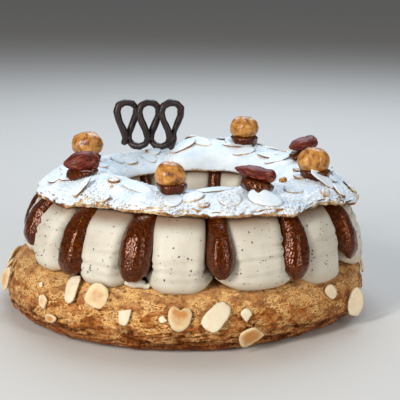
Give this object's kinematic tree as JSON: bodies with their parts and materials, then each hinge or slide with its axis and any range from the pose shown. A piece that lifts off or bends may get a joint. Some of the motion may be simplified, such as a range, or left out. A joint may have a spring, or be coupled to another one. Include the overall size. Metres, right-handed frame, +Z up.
{
  "type": "paris brest pastry",
  "caption": "Whole split choux ring filled with vanilla cream and praline piped by turns, under a sugar-dusted lid with hazelnuts, almonds and a chocolate ornament.",
  "frame": {"origin": "centre of the bounding box's bottom, in the plane of the ring's flat underside, within 1 mm of the ring's own axis", "axes": "+Z up along the ring's axis, +X to the right and -Y towards the front, where the lid dips to a front hazelnut and the chocolate ornament stands at the back left"},
  "size_m": [0.1965, 0.1962, 0.1057],
  "materials": {
    "baked_choux": "matt, golden brown, crackled baked choux crust",
    "sugar_dusted_choux": "matt choux crust under a thick dusting of icing sugar, tan at the torn rim",
    "vanilla_cream": "soft, slightly moist pale cream with dark vanilla specks",
    "praline_paste": "glossy dark caramel-brown nut paste with a fine grain",
    "roasted_hazelnut": "satin amber, mottled, under a thin caramel glaze",
    "almond_skin": "dark red-brown skin with fine lengthwise wrinkles",
    "dark_chocolate": "near-black dark chocolate, satin"
  },
  "bodies": {
    "root": {"choux_base": "baked_choux", "choux_lid": "sugar_dusted_choux", "cream_lobe_01": "vanilla_cream", "cream_lobe_02": "vanilla_cream", "cream_lobe_03": "vanilla_cream", "cream_lobe_04": "vanilla_cream", "cream_lobe_05": "vanilla_cream", "cream_lobe_06": "vanilla_cream", "cream_lobe_07": "vanilla_cream", "cream_lobe_08": "vanilla_cream", "cream_lobe_09": "vanilla_cream", "cream_lobe_10": "vanilla_cream", "cream_lobe_11": "vanilla_cream", "cream_lobe_12": "vanilla_cream", "cream_lobe_13": "vanilla_cream", "cream_lobe_14": "vanilla_cream", "praline_drop_01": "praline_paste", "praline_drop_02": "praline_paste", "praline_drop_03": "praline_paste", "praline_drop_04": "praline_paste", "praline_drop_05": "praline_paste", "praline_drop_06": "praline_paste", "praline_drop_07": "praline_paste", "praline_drop_08": "praline_paste", "praline_drop_09": "praline_paste", "praline_drop_10": "praline_paste", "praline_drop_11": "praline_paste", "praline_drop_12": "praline_paste", "praline_drop_13": "praline_paste", "praline_drop_14": "praline_paste", "hazelnut_1": "roasted_hazelnut", "hazelnut_2": "roasted_hazelnut", "hazelnut_3": "roasted_hazelnut", "hazelnut_4": "roasted_hazelnut", "praline_dollop_hazelnut_1": "praline_paste", "praline_dollop_hazelnut_2": "praline_paste", "praline_dollop_hazelnut_3": "praline_paste", "praline_dollop_hazelnut_4": "praline_paste", "almond_1": "almond_skin", "almond_2": "almond_skin", "almond_3": "almond_skin", "praline_dollop_almond_1": "praline_paste", "praline_dollop_almond_2": "praline_paste", "praline_dollop_almond_3": "praline_paste", "chocolate_ornament": "dark_chocolate"}
  },
  "joints": []
}
